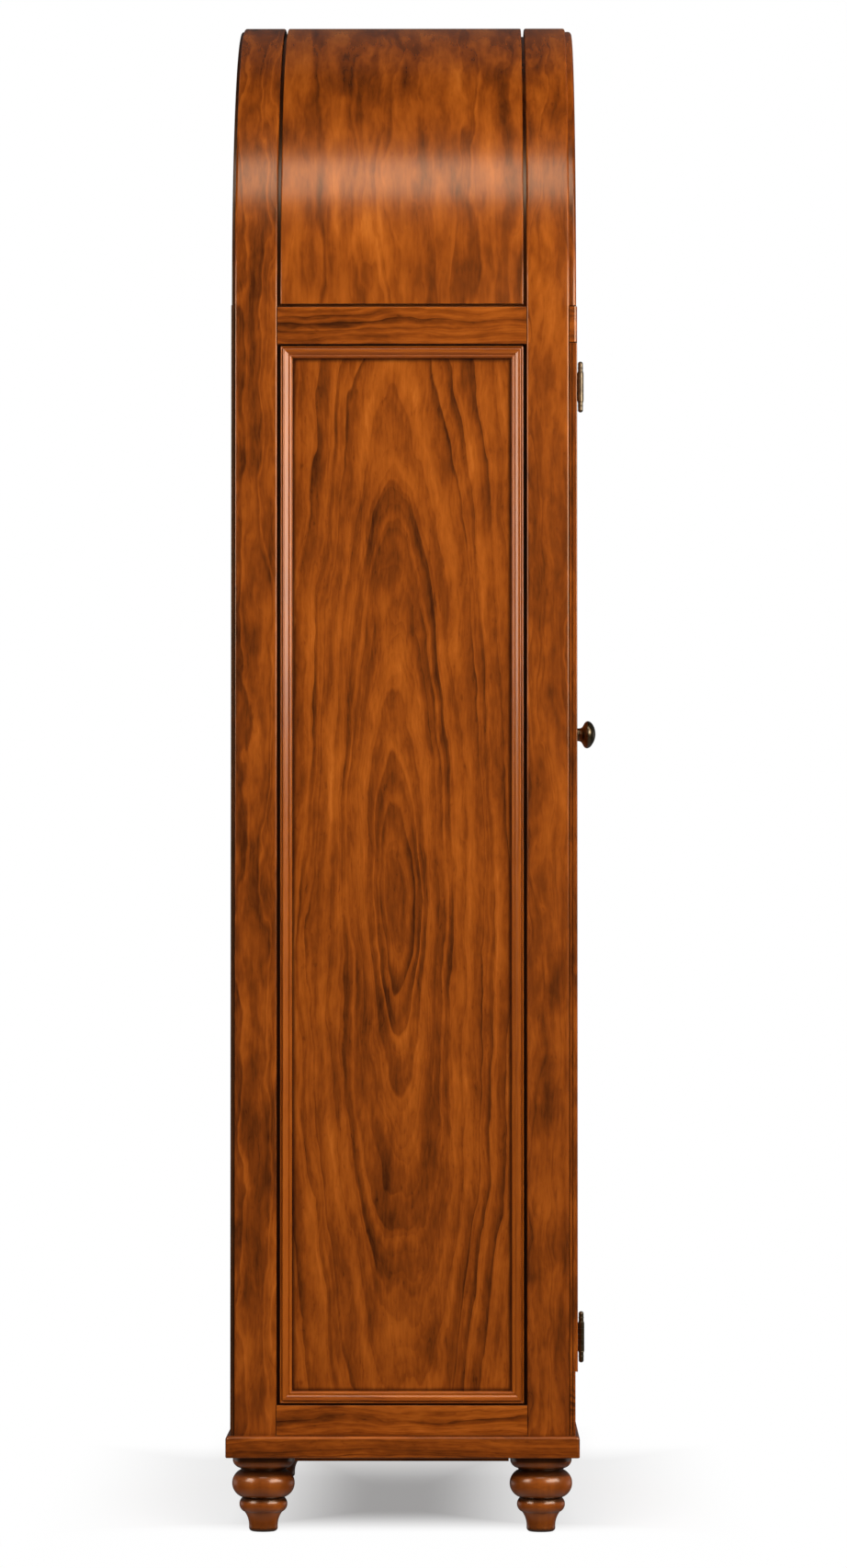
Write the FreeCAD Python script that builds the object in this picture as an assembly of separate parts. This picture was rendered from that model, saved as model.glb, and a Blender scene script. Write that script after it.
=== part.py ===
import FreeCAD, Part
import math
import os

V = FreeCAD.Vector

# Overall sizes. The cabinet faces -Y, its width runs along X, and it stands on the plane z = 0.
overall_height = 2000
case_width = 840
frame_depth = 432

# Small sizes that many pieces share
frame_arris = 3
groove_arris = 2.4
arris = 1.6
fine_arris = 0.8
seat_gap = 0.3
hole_room = 0.1
joint_line = 0.8
overrun = 4
same_place = 0.01

# Feet
foot_height = 98
foot_radius = 40.4
foot_side_inset = 43
foot_end_inset = 37
foot_bolt_radius = 4
foot_bolt_in_foot = 45
foot_bolt_in_plinth = 22

# Plinth
plinth_thickness = 28
plinth_board_width = 100
plinth_side_overhang = 10
plinth_front_overhang = 12.3
plinth_back_overhang = 10.3
plinth_round = 4.5
step_depth = 4.7
step_inset = 14
step_width = 22
step_foot_gap = 1.4

# Side frames
frame_thickness = 22
stile_width = 55
bottom_rail_height = 38.7
mid_rail_height = 48
panel_recess = 11
panel_thickness = 7
tongue_length = 8
tongue_room = 2
upright_gap = 4.2
level_gap = 2.4

# Panel moulding, in shares of its width and of its height above the panel
moulding_width = 15.5
moulding_drop = 1
moulding_ridge_shares = (
    ((0.00, 0.70), (0.08, 0.83), (0.16, 0.74)),
    ((0.20, 0.72), (0.41, 1.00), (0.68, 0.60)),
    ((0.73, 0.50), (0.85, 0.60), (0.97, 0.40)),
)
moulding_valley_shares = ((0.18, 0.68), (0.705, 0.49))
moulding_lip_shares = ((1.00, 0.30),)

# Arched top
barrel_gap = 4
rib_bearing = 12
rail_tongue_rise = 10

# Face of the cabinet
face_thickness = 10
face_stile_width = 40
face_tongue_depth = 20
frieze_gap = 1.5
frieze_height = 46.5
frieze_round = 4
apron_height = 82
apron_thickness = 7
arch_moulding_thickness = 9
arch_moulding_width = 54
arch_setback = 4.4
arch_round = 4.5
arch_band_width = 30
arch_quirk_depth = 1.6
arch_inner_thickness = 3.5
face_quirk_width = 1.5
face_quirk_depth = 1.2
face_quirk_place = 2.8
tympanum_thickness = 8

# Back panels
upper_back_thickness = 3.8
lower_back_thickness = 4.4
back_screw_rows = 8
arch_screw_count = 7

# Inside boards
base_board_thickness = 18
ceiling_board_thickness = 20
ceiling_lift = 3
shelf_thickness = 18
shelf_end_gap = 1.5
shelf_names = ("lower", "middle", "upper")

# Shelf supports
peg_radius = 2.5
peg_depth = 9
support_width = 14
support_reach = 10
support_drop = 12
support_thickness = 2

# Doors
door_thickness = 20
door_gap = 2
door_head_gap = 3
door_foot_gap = 2
door_stile_width = 62
door_top_rail_height = 62
door_bottom_rail_height = 92
door_panel_recess = 8.5
door_panel_thickness = 6

# Knobs, in shares of the knob's radius and of its projection
knob_radius = 19
knob_projection = 33
knob_height = 1041
knob_inset = 27
knob_outline_shares = (
    (0.60, 0.00),
    (0.60, 0.05),
    ((0.57, 0.105), (0.45, 0.13)),
    ((0.39, 0.27), (0.46, 0.42)),
    ((0.88, 0.50), (1.00, 0.665)),
    ((0.76, 0.90), (0.10, 1.00)),
)
knob_bolt_radius = 2
knob_bolt_grip = 15
knob_bolt_head_radius = 4.5
knob_bolt_head_height = 3

# Hinges, with a finial's outline in shares of its radius and length
upper_hinge_drop = 51
lower_hinge_rise = 40
barrel_radius = 4.1
barrel_standoff = 5
barrel_length = 37
pin_radius = 1.5
pin_room = 0.1
knuckle_count = 5
knuckle_gap = 0.2
leaf_thickness = 0.85
leaf_width = 18.5
finial_length = 14.5
finial_radius = 3.8
finial_outline_shares = (
    (0.94, 0.00),
    ((1.00, 0.045), (0.94, 0.09)),
    (0.86, 0.10),
    (0.86, 0.38),
    ((0.95, 0.425), (0.86, 0.47)),
    (0.86, 0.74),
    ((0.70, 0.92), (0.14, 1.00)),
)

# Wood screws: those of the hinges and catches, and those of the back panels
screw_head_radius = 2.6
screw_shank_radius = 1.3
screw_head_depth = 1.4
screw_length = 14
back_screw_head_radius = 4
back_screw_shank_radius = 2
back_screw_head_depth = 2.2
back_screw_length = 30

# Magnetic catches and their strikes
catch_width = 46
catch_depth = 16
catch_height = 20
catch_margin = 7
magnet_width = 30
magnet_height = 8
magnet_depth = 5
magnet_offset = 14
strike_width = 40
strike_height = 13
strike_thickness = 1.2

# Places that follow from the sizes
half_width = case_width / 2
spring_z = overall_height - half_width
case_bottom_z = foot_height + plinth_thickness
knob_reach = frame_depth / 2 + face_thickness + knob_projection
back_reach = frame_depth / 2 + plinth_back_overhang
centre_y = (knob_reach - back_reach) / 2
front_y = centre_y - frame_depth / 2
back_y = centre_y + frame_depth / 2
inner_half = half_width - frame_thickness
face_y = front_y - face_thickness
face_bottom_z = case_bottom_z + apron_height
frieze_top_z = spring_z - frieze_gap
frieze_bottom_z = frieze_top_z - frieze_height
mid_rail_top_z = spring_z - barrel_gap / 2
ceiling_z = frieze_bottom_z + ceiling_lift
opening_half = half_width - face_stile_width
door_bottom_z = face_bottom_z + door_foot_gap
door_top_z = frieze_bottom_z - door_head_gap
door_back_y = face_y + door_thickness
hinge_x = -opening_half + door_gap / 2
hinge_y = face_y - barrel_standoff
hinge_levels = (door_bottom_z + lower_hinge_rise, door_top_z - upper_hinge_drop)
lip_reach = upright_gap + rib_bearing
catch_inset = door_gap / 2 + door_stile_width + catch_margin + strike_width / 2
foot_x = half_width - foot_side_inset
foot_front_y = front_y + foot_end_inset
foot_back_y = back_y - foot_end_inset

pieces = {}


# General shapes


def block(x0, x1, y0, y1, z0, z1):
    """A box between two corners."""
    return Part.makeBox(x1 - x0, y1 - y0, z1 - z0, V(x0, y0, z0))


def rod(radius, length, start, direction):
    """A cylinder from a point along a direction."""
    return Part.makeCylinder(radius, length, start, direction)


def plate(points, run):
    """A flat polygon made solid along the vector run."""
    return Part.Face(Part.makePolygon(points + points[:1])).extrude(run)


def outline(steps):
    """A closed face: a step is a point, reached by a line, or a (via, end) pair, reached by an arc."""
    edges = []
    here = steps[0]
    for step in steps[1:] + steps[:1]:
        if isinstance(step, tuple):
            edges.append(Part.Arc(here, step[0], step[1]).toShape())
            here = step[1]
        elif here.distanceToPoint(step) > same_place:
            edges.append(Part.LineSegment(here, step).toShape())
            here = step
    return Part.Face(Part.Wire(edges))


def section(*corners):
    """A closed face from its corners, each a point or a (point, radius) pair where it is rounded."""
    points = [corner[0] if isinstance(corner, tuple) else corner for corner in corners]
    steps = []
    for number, corner in enumerate(corners):
        if not isinstance(corner, tuple):
            steps.append(corner)
            continue
        point, radius = corner
        back = (points[number - 1] - point).normalize()
        on = (points[(number + 1) % len(points)] - point).normalize()
        half_angle = math.acos(back.dot(on)) / 2
        tangent = radius / math.tan(half_angle)
        towards = (back + on).normalize()
        via = point + towards * (radius / math.sin(half_angle) - radius)
        steps.append(point + back * tangent)
        steps.append((via, point + on * tangent))
    return outline(steps)


def turned(shares, radius, length, start, direction):
    """A solid of revolution along a direction, from an outline in shares of its radius and length."""
    side = direction.cross(V(0, 0, 1))
    if side.Length < 0.5:
        side = V(1, 0, 0)

    def at(share):
        return start + side * (share[0] * radius) + direction * (share[1] * length)

    steps = [start]
    for share in shares:
        if isinstance(share[0], tuple):
            steps.append((at(share[0]), at(share[1])))
        else:
            steps.append(at(share))
    steps.append(start + direction * length)
    return outline(steps).revolve(start, direction, 360)


def ease(shape, radius, **planes):
    """The shape with the edges rounded that lie in all of the given planes."""
    picked = []
    for edge in shape.Edges:
        box = edge.BoundBox
        spans = {"x": (box.XMin, box.XMax), "y": (box.YMin, box.YMax), "z": (box.ZMin, box.ZMax)}
        if all(abs(end - at) < same_place for axis, at in planes.items() for end in spans[axis]):
            picked.append(edge)
    return shape.makeFillet(radius, picked)


def whole(shape):
    """The solids of a shape: a lone one by itself, several as a group."""
    solids = shape.removeSplitter().Solids
    return solids[0] if len(solids) == 1 else Part.makeCompound(solids)


def group(shapes):
    """Separate solids that share one node."""
    return Part.makeCompound([solid for shape in shapes for solid in shape.Solids])


def mirrored(shape):
    """The same shape on the other side of the cabinet."""
    return shape.mirror(V(0, 0, 0), V(1, 0, 0))


def both_sides(shapes):
    """The shapes and their mirror images."""
    return shapes + [mirrored(shape) for shape in shapes]


def drill(names, cutters):
    """Cut holes in named pieces."""
    for name in names:
        pieces[name] = whole(pieces[name].cut(cutters))


def screw(sizes, at, direction, room=0):
    """A countersunk screw with its head flush at a point. With room it is the hole that takes it."""
    head_radius, shank_radius, head_depth, length = sizes
    head = Part.makeCone(head_radius + room, shank_radius + room, head_depth, at, direction)
    neck = at + direction * head_depth
    return head.fuse(rod(shank_radius + room, length - head_depth + room, neck, direction))


small_screw = (screw_head_radius, screw_shank_radius, screw_head_depth, screw_length)
back_screw = (back_screw_head_radius, back_screw_shank_radius, back_screw_head_depth, back_screw_length)


# Frame and panel work, shared by the cabinet's sides and its doors


def moulding_section(height, place):
    """The moulding's section. place turns a distance across and a height into a point."""

    def at(share):
        return place(share[0] * moulding_width, share[1] * height)

    steps = [place(0, 0)]
    for number, (start, peak, end) in enumerate(moulding_ridge_shares):
        steps.append(at(start))
        steps.append((at(peak), at(end)))
        if number < len(moulding_valley_shares):
            steps.append(at(moulding_valley_shares[number]))
    steps.extend(at(share) for share in moulding_lip_shares)
    steps.append(place(moulding_width, 0))
    return outline(steps)


def moulding_frame(x0, x1, z0, z1, recess):
    """Four mitred lengths of moulding, planted on a panel that lies at a depth of recess."""
    height = recess - moulding_drop
    middle = V((x0 + x1) / 2, 0, (z0 + z1) / 2)
    upright = moulding_section(height, lambda across, up: V(x0 + across, recess - up, z0))
    level = moulding_section(height, lambda across, up: V(x0, recess - up, z0 + across))
    through = V(0, recess, 0)
    upright_cut = [
        V(x0, 0, z0),
        V(x0 + moulding_width, 0, z0 + moulding_width),
        V(x0 + moulding_width, 0, z1 - moulding_width),
        V(x0, 0, z1),
    ]
    level_cut = [
        V(x0, 0, z0),
        V(x1, 0, z0),
        V(x1 - moulding_width, 0, z0 + moulding_width),
        V(x0 + moulding_width, 0, z0 + moulding_width),
    ]
    near = upright.extrude(V(0, 0, z1 - z0)).common(plate(upright_cut, through))
    low = level.extrude(V(x1 - x0, 0, 0)).common(plate(level_cut, through))
    far = near.mirror(middle, V(1, 0, 0))
    high = low.mirror(middle, V(0, 0, 1))
    return group([near, far, low, high])


def framed_panel(width, thickness, stile, stiles_z, bottom_z, top_z, recess, sheet, rounds):
    """Two stiles, two rails, a panel in their grooves and the moulding that is planted on it.

    It stands in the plane y = 0 with its outer face towards -y and its first stile at x = 0.
    rounds holds the radii of the stiles' outer and inner edges.
    """
    groove = tongue_length + tongue_room
    far = width - stile
    stile_slot = block(stile - groove, far + groove, recess, recess + sheet, bottom_z[0], top_z[1])
    panel_slot = block(
        stile - groove, far + groove, recess, recess + sheet, bottom_z[1] - groove, top_z[0] + groove
    )
    stiles = []
    for x0, radii in ((0, rounds), (far, rounds[::-1])):
        stile_bar = block(x0, x0 + stile, 0, thickness, *stiles_z)
        for edge_x, radius in zip((x0, x0 + stile), radii):
            stile_bar = ease(stile_bar, radius, x=edge_x, y=0)
        stiles.append(whole(stile_bar.cut(stile_slot)))
    rails = []
    for z0, z1 in (bottom_z, top_z):
        rail = block(stile, far, 0, thickness, z0, z1)
        for edge_z in (z0, z1):
            rail = ease(rail, fine_arris, y=0, z=edge_z)
        tenons = block(stile - tongue_length, far + tongue_length, recess, recess + sheet, z0, z1)
        rails.append(whole(rail.fuse(tenons).cut(panel_slot)))
    panel = block(
        stile - tongue_length,
        far + tongue_length,
        recess,
        recess + sheet,
        bottom_z[1] - tongue_length,
        top_z[0] + tongue_length,
    )
    moulding = moulding_frame(
        stile + upright_gap, far - upright_gap, bottom_z[1] + level_gap, top_z[0] - level_gap, recess
    )
    return stiles[0], stiles[1], rails[0], rails[1], panel, moulding


# Feet and plinth


def foot(x, y):
    """A turned foot: a disc, a bun, a bead and a tapered toe."""
    foot_outline_shares = (
        (0.35, 0.00),
        ((0.43, 0.017), (0.458, 0.06)),
        (0.458, 0.085),
        ((0.49, 0.165), (0.60, 0.255)),
        ((0.765, 0.372), (0.666, 0.447)),
        ((1.00, 0.632), (0.708, 0.812)),
        (0.745, 0.832),
        ((0.925, 0.876), (0.98, 0.925)),
        (0.98, 1.00),
    )
    return turned(foot_outline_shares, foot_radius, foot_height, V(x, y, 0), V(0, 0, 1))


def plinth():
    """The four mitred boards of the plinth, each with a shallow step below it between the feet."""
    x1 = half_width + plinth_side_overhang
    y0 = front_y - plinth_front_overhang
    y1 = back_y + plinth_back_overhang
    z0 = foot_height
    z1 = case_bottom_z
    width = plinth_board_width
    ring = block(-x1, x1, y0, y1, z0, z1)
    for x in (-x1, x1):
        for y in (y0, y1):
            ring = ease(ring, plinth_round, x=x, y=y)
    ring = ease(ring, plinth_round, z=z1)
    ring = ease(ring, arris, z=z0)
    ring = ring.cut(block(width - x1, x1 - width, y0 + width, y1 - width, z0, z1))
    up = V(0, 0, z1 - z0)
    outer = [V(-x1, y0, z0), V(x1, y0, z0), V(x1, y1, z0), V(-x1, y1, z0)]
    inner = [
        V(width - x1, y0 + width, z0),
        V(x1 - width, y0 + width, z0),
        V(x1 - width, y1 - width, z0),
        V(width - x1, y1 - width, z0),
    ]
    clear = foot_radius + step_foot_gap
    step_x = foot_x - clear
    step_y0 = foot_front_y + clear
    step_y1 = foot_back_y - clear
    near = step_inset
    deep = step_inset + step_width
    steps = {
        "plinth_front": block(-step_x, step_x, y0 + near, y0 + deep, z0 - step_depth, z0),
        "plinth_right": block(x1 - deep, x1 - near, step_y0, step_y1, z0 - step_depth, z0),
        "plinth_back": block(-step_x, step_x, y1 - deep, y1 - near, z0 - step_depth, z0),
        "plinth_left": block(near - x1, deep - x1, step_y0, step_y1, z0 - step_depth, z0),
    }
    for number, (name, step) in enumerate(steps.items()):
        after = (number + 1) % len(outer)
        wedge = plate([outer[number], outer[after], inner[after], inner[number]], up)
        pieces[name] = whole(ring.common(wedge).fuse(step))


def base():
    """The plinth, the feet and the bolts that hold the feet to it."""
    plinth()
    bolts = []
    holes = []
    bottom = foot_height - foot_bolt_in_foot
    length = foot_bolt_in_foot + foot_bolt_in_plinth
    for end, y in (("front", foot_front_y), ("back", foot_back_y)):
        for side, x in (("left", -foot_x), ("right", foot_x)):
            start = V(x, y, bottom)
            bolts.append(rod(foot_bolt_radius, length, start, V(0, 0, 1)))
            holes.append(rod(foot_bolt_radius + hole_room, length, start, V(0, 0, 1)))
            pieces[f"foot_{end}_{side}"] = whole(foot(x, y).cut(holes[-1]))
    drill(["plinth_front", "plinth_back", "plinth_left", "plinth_right"], holes)
    pieces["foot_bolts"] = group(bolts)


# Sides


def left_side():
    """The left side: frame, panel and moulding, with the mid rail's tongue behind the arched top."""
    parts = framed_panel(
        frame_depth,
        frame_thickness,
        stile_width,
        (case_bottom_z, spring_z),
        (case_bottom_z, case_bottom_z + bottom_rail_height),
        (mid_rail_top_z - mid_rail_height, mid_rail_top_z),
        panel_recess,
        panel_thickness,
        (frame_arris, groove_arris),
    )
    names = ("back_stile", "front_stile", "bottom_rail", "mid_rail", "side_panel", "side_moulding")
    for name, shape in zip(names, parts):
        placed = shape.copy()
        placed.rotate(V(0, 0, 0), V(0, 0, 1), -90)
        placed.translate(V(-half_width, back_y, 0))
        pieces[f"left_{name}"] = placed
    tongue = block(
        -half_width + panel_recess + seat_gap,
        -inner_half,
        front_y + stile_width + lip_reach,
        back_y - stile_width - lip_reach,
        mid_rail_top_z,
        spring_z + rail_tongue_rise,
    )
    pieces["left_mid_rail"] = whole(pieces["left_mid_rail"].fuse(tongue))


# Arched top


def at_spring(radius, y):
    """A point of the left end of the arch, from its radius and its place along the depth."""
    return V(-radius, y, spring_z)


def arched(face):
    """A section at the left end of the arch, swung over to the right end."""
    return face.revolve(V(0, 0, spring_z), V(0, 1, 0), 180)


def half_disc(radius, y0, y1):
    """The upper half of a disc on the arch's centre."""
    return arched(section(at_spring(radius, y0), at_spring(radius, y1), at_spring(0, y1), at_spring(0, y0)))


def rib(outer_y, inward):
    """An arched rib with a lip under the barrel panel. inward is +1 at the front and -1 at the back."""
    inner_y = outer_y + inward * stile_width
    lip_y = inner_y + inward * lip_reach
    face = section(
        (at_spring(half_width, outer_y), frame_arris),
        (at_spring(half_width, inner_y), groove_arris),
        at_spring(half_width - panel_recess, inner_y),
        at_spring(half_width - panel_recess, lip_y),
        at_spring(inner_half, lip_y),
        at_spring(inner_half, outer_y),
    )
    return arched(face)


def arched_top():
    """The two ribs and the barrel panel that lies between them."""
    pieces["front_arch_rib"] = rib(front_y, 1)
    pieces["back_arch_rib"] = rib(back_y, -1)
    y0 = front_y + stile_width + upright_gap
    y1 = back_y - stile_width - upright_gap
    inner = half_width - panel_recess + seat_gap
    barrel = arched(
        section(
            (at_spring(half_width, y0), arris),
            (at_spring(half_width, y1), arris),
            at_spring(inner, y1),
            at_spring(inner, y0),
        )
    )
    below = block(-half_width, half_width, y0, y1, spring_z - overrun, spring_z + barrel_gap / 2)
    pieces["barrel_panel"] = whole(barrel.cut(below))


# Face of the cabinet


def arch_moulding():
    """The flat arch on the front with a rounded outer edge, a quirk and an ovolo towards the panel."""
    outer = half_width - arch_setback
    inner = outer - arch_moulding_width
    band = outer - arch_band_width
    front = front_y - arch_moulding_thickness
    quirk = front + arch_quirk_depth
    inner_face = front_y - arch_inner_thickness
    ovolo_rise = inner_face - quirk
    via_radius = band - arch_quirk_depth - (band - arch_quirk_depth - inner) * math.sin(math.pi / 4)
    via_y = inner_face - ovolo_rise * math.cos(math.pi / 4)
    steps = [
        at_spring(outer, front_y),
        at_spring(outer, front + arch_round),
        (
            at_spring(
                outer - arch_round * (1 - math.sqrt(0.5)), front + arch_round * (1 - math.sqrt(0.5))
            ),
            at_spring(outer - arch_round, front),
        ),
        at_spring(band, front),
        at_spring(band, quirk),
        at_spring(band - arch_quirk_depth, quirk),
        (at_spring(via_radius, via_y), at_spring(inner, inner_face)),
        at_spring(inner, front_y),
    ]
    return arched(outline(steps))


def face_quirk(z0, z1):
    """The cutter of the small groove down the outer side of the face's left edge."""
    near = front_y - face_quirk_place
    return block(
        -half_width - overrun,
        -half_width + face_quirk_depth,
        near - face_quirk_width,
        near,
        z0 - overrun,
        z1 + overrun,
    )


def face():
    """The arch moulding, the panel behind it, the frieze, the face stiles and the apron."""
    pieces["arch_moulding"] = arch_moulding()
    tympanum_radius = inner_half - seat_gap
    tympanum_y = front_y + tympanum_thickness
    foot_of_tympanum = block(
        -tympanum_radius,
        tympanum_radius,
        front_y,
        tympanum_y,
        ceiling_z + ceiling_board_thickness,
        spring_z,
    )
    pieces["tympanum_panel"] = whole(
        half_disc(tympanum_radius, front_y, tympanum_y).fuse(foot_of_tympanum)
    )
    frieze = block(-half_width, half_width, face_y, front_y, frieze_bottom_z, frieze_top_z)
    for x in (-half_width, half_width):
        frieze = ease(frieze, frieze_round, x=x, y=face_y)
    pieces["frieze_rail"] = ease(frieze, fine_arris, y=face_y, z=frieze_bottom_z)
    apron_y = front_y - apron_thickness
    apron = block(-half_width, half_width, apron_y, front_y, case_bottom_z, face_bottom_z)
    for x in (-half_width, half_width):
        apron = ease(apron, arris, x=x, y=apron_y)
    apron = ease(apron, fine_arris, y=apron_y, z=face_bottom_z)
    pieces["apron_rail"] = whole(apron.cut(both_sides([face_quirk(case_bottom_z, face_bottom_z)])))
    top = frieze_bottom_z - joint_line
    stile = block(-half_width, -opening_half, face_y, front_y, face_bottom_z, top)
    stile = ease(stile, arris, x=-half_width, y=face_y)
    stile = ease(stile, fine_arris, x=-opening_half, y=face_y)
    tongue = block(
        -inner_half, -opening_half, front_y, front_y + face_tongue_depth, face_bottom_z, top
    )
    pieces["left_face_stile"] = whole(stile.fuse(tongue).cut(face_quirk(face_bottom_z, top)))


# Back and inside


def back():
    """The two back panels and the screws that hold them."""
    radius = half_width - arch_setback
    y1 = back_y + upper_back_thickness
    edge = section(
        at_spring(radius, back_y),
        (at_spring(radius, y1), arris),
        at_spring(0, y1),
        at_spring(0, back_y),
    )
    below = block(-half_width, half_width, back_y, y1, spring_z - overrun, spring_z + joint_line)
    pieces["upper_back_panel"] = whole(arched(edge).cut(below))
    lower_y = back_y + lower_back_thickness
    lower = block(-half_width, half_width, back_y, lower_y, case_bottom_z, spring_z)
    for x in (-half_width, half_width):
        lower = ease(lower, arris, x=x, y=lower_y)
    pieces["lower_back_panel"] = lower


def back_screws(room=0):
    """The screws of the back panels: a column in each back stile and a row along the back rib."""
    screws = []
    pitch = (spring_z - case_bottom_z) / back_screw_rows
    middle = half_width - frame_thickness / 2
    forward = V(0, -1, 0)
    for row in range(back_screw_rows):
        level = case_bottom_z + pitch * (row + 0.5)
        at = V(-middle, back_y + lower_back_thickness, level)
        screws.append(screw(back_screw, at, forward, room))
    columns = both_sides(screws)
    arch = []
    for number in range(arch_screw_count):
        angle = math.pi * (number + 0.5) / arch_screw_count
        at = V(
            -middle * math.cos(angle),
            back_y + upper_back_thickness,
            spring_z + middle * math.sin(angle),
        )
        arch.append(screw(back_screw, at, forward, room))
    return columns, arch


def boards():
    """The base board, the ceiling board and the shelves."""
    pieces["base_board"] = block(
        -inner_half, inner_half, front_y, back_y, face_bottom_z - base_board_thickness, face_bottom_z
    )
    pieces["ceiling_board"] = block(
        -inner_half, inner_half, front_y, back_y, ceiling_z, ceiling_z + ceiling_board_thickness
    )
    shelf_half = inner_half - shelf_end_gap
    for name, level in shelf_levels():
        shelf = block(
            -shelf_half,
            shelf_half,
            front_y + face_tongue_depth + shelf_end_gap,
            back_y - shelf_end_gap,
            level,
            level + shelf_thickness,
        )
        front = front_y + face_tongue_depth + shelf_end_gap
        shelf = ease(shelf, arris, y=front, z=level + shelf_thickness)
        pieces[f"shelf_{name}"] = shelf


def shelf_levels():
    """Each shelf's name and the level of its underside, with equal spaces between the shelves."""
    count = len(shelf_names)
    space = (ceiling_z - face_bottom_z - count * shelf_thickness) / (count + 1)
    return [
        (name, face_bottom_z + space + number * (space + shelf_thickness))
        for number, name in enumerate(shelf_names)
    ]


def shelf_supports():
    """The pegged steel supports under the shelves' ends, and the holes for their pegs."""
    supports = []
    holes = []
    wall = -inner_half
    for _, level in shelf_levels():
        for y in (front_y + stile_width / 2, back_y - stile_width / 2):
            y0 = y - support_width / 2
            y1 = y + support_width / 2
            tab = block(wall, wall + support_reach, y0, y1, level - support_thickness, level)
            leg = block(wall, wall + support_thickness, y0, y1, level - support_drop, level)
            centre = V(wall, y, level - support_drop / 2)
            peg = rod(peg_radius, peg_depth, centre, V(-1, 0, 0))
            supports.append(whole(tab.fuse([leg, peg])))
            holes.append(rod(peg_radius + hole_room, peg_depth + hole_room, centre, V(-1, 0, 0)))
    drill(["left_front_stile", "left_back_stile"], holes)
    pieces["shelf_pins"] = group(both_sides(supports))


# Hinges


def knuckle_spans(own):
    """The levels of a leaf's own knuckles, from the barrel's lower end. own is 0 or 1."""
    pitch = barrel_length / knuckle_count
    return [
        (pitch * number + knuckle_gap / 2, pitch * (number + 1) - knuckle_gap / 2)
        for number in range(own, knuckle_count, 2)
    ]


def leaf(level, own, x0):
    """One leaf of a hinge with its knuckles. x0 is the side of the leaf that faces -x."""
    bottom = level - barrel_length / 2
    back = hinge_y + barrel_standoff + leaf_width
    behind = hinge_y + barrel_radius + knuckle_gap
    into_wall = hinge_y + (barrel_radius + pin_radius + pin_room) / 2
    x1 = x0 + leaf_thickness
    plate_z0 = bottom + knuckle_gap / 2
    plate_z1 = bottom + barrel_length - knuckle_gap / 2
    shape = block(x0, x1, behind, back, plate_z0, plate_z1)
    for z0, z1 in knuckle_spans(own):
        shape = shape.fuse(block(x0, x1, into_wall, behind, bottom + z0, bottom + z1))
        start = V(hinge_x, hinge_y, bottom + z0)
        tube = rod(barrel_radius, z1 - z0, start, V(0, 0, 1))
        shape = shape.fuse(tube.cut(rod(pin_radius + pin_room, z1 - z0, start, V(0, 0, 1))))
    return whole(shape)


def leaf_screws(level, x, direction, room=0):
    """The two screws of a leaf, driven through its inner side at x."""
    y = face_y + leaf_width / 2
    spread = barrel_length / 4
    return [
        screw(small_screw, V(x, y, level + offset), direction, room) for offset in (-spread, spread)
    ]


def hinge_pin(level):
    """A hinge's pin, with a turned finial at each end of the barrel."""
    bottom = level - barrel_length / 2
    top = level + barrel_length / 2
    pin = rod(pin_radius, barrel_length, V(hinge_x, hinge_y, bottom), V(0, 0, 1))
    upper = turned(
        finial_outline_shares, finial_radius, finial_length, V(hinge_x, hinge_y, top), V(0, 0, 1)
    )
    lower = turned(
        finial_outline_shares, finial_radius, finial_length, V(hinge_x, hinge_y, bottom), V(0, 0, -1)
    )
    return whole(pin.fuse([upper, lower]))


def left_hinges():
    """The hinges of the left door, with the screws in the face stile and in the door."""
    frame_x = -opening_half
    door_x = -opening_half + door_gap - leaf_thickness
    frame_screws = []
    frame_leaves = []
    door_parts = []
    for level in hinge_levels:
        frame_side = frame_x + leaf_thickness
        holes = leaf_screws(level, frame_side, V(-1, 0, 0), hole_room)
        frame_leaves.append(whole(leaf(level, 0, frame_x).cut(holes)))
        drill(["left_face_stile"], holes)
        frame_screws += leaf_screws(level, frame_side, V(-1, 0, 0))
        holes = leaf_screws(level, door_x, V(1, 0, 0), hole_room)
        door_parts.append(whole(leaf(level, 1, door_x).cut(holes)))
        drill(["left_door_hinge_stile"], holes)
        door_parts += leaf_screws(level, door_x, V(1, 0, 0))
    pieces["left_door_hinge_leaves"] = group(door_parts)
    pieces["hinge_frame_leaves"] = group(both_sides(frame_leaves))
    pieces["hinge_pins"] = group(both_sides([hinge_pin(level) for level in hinge_levels]))
    return frame_screws


# Doors


def left_door():
    """The left door's woodwork."""
    x0 = -opening_half + door_gap
    parts = framed_panel(
        -door_gap / 2 - x0,
        door_thickness,
        door_stile_width,
        (door_bottom_z, door_top_z),
        (door_bottom_z, door_bottom_z + door_bottom_rail_height),
        (door_top_z - door_top_rail_height, door_top_z),
        door_panel_recess,
        door_panel_thickness,
        (arris, arris),
    )
    names = ("hinge_stile", "meeting_stile", "bottom_rail", "top_rail", "panel", "moulding")
    for name, shape in zip(names, parts):
        placed = shape.copy()
        placed.translate(V(x0, face_y, 0))
        pieces[f"left_door_{name}"] = placed


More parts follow.
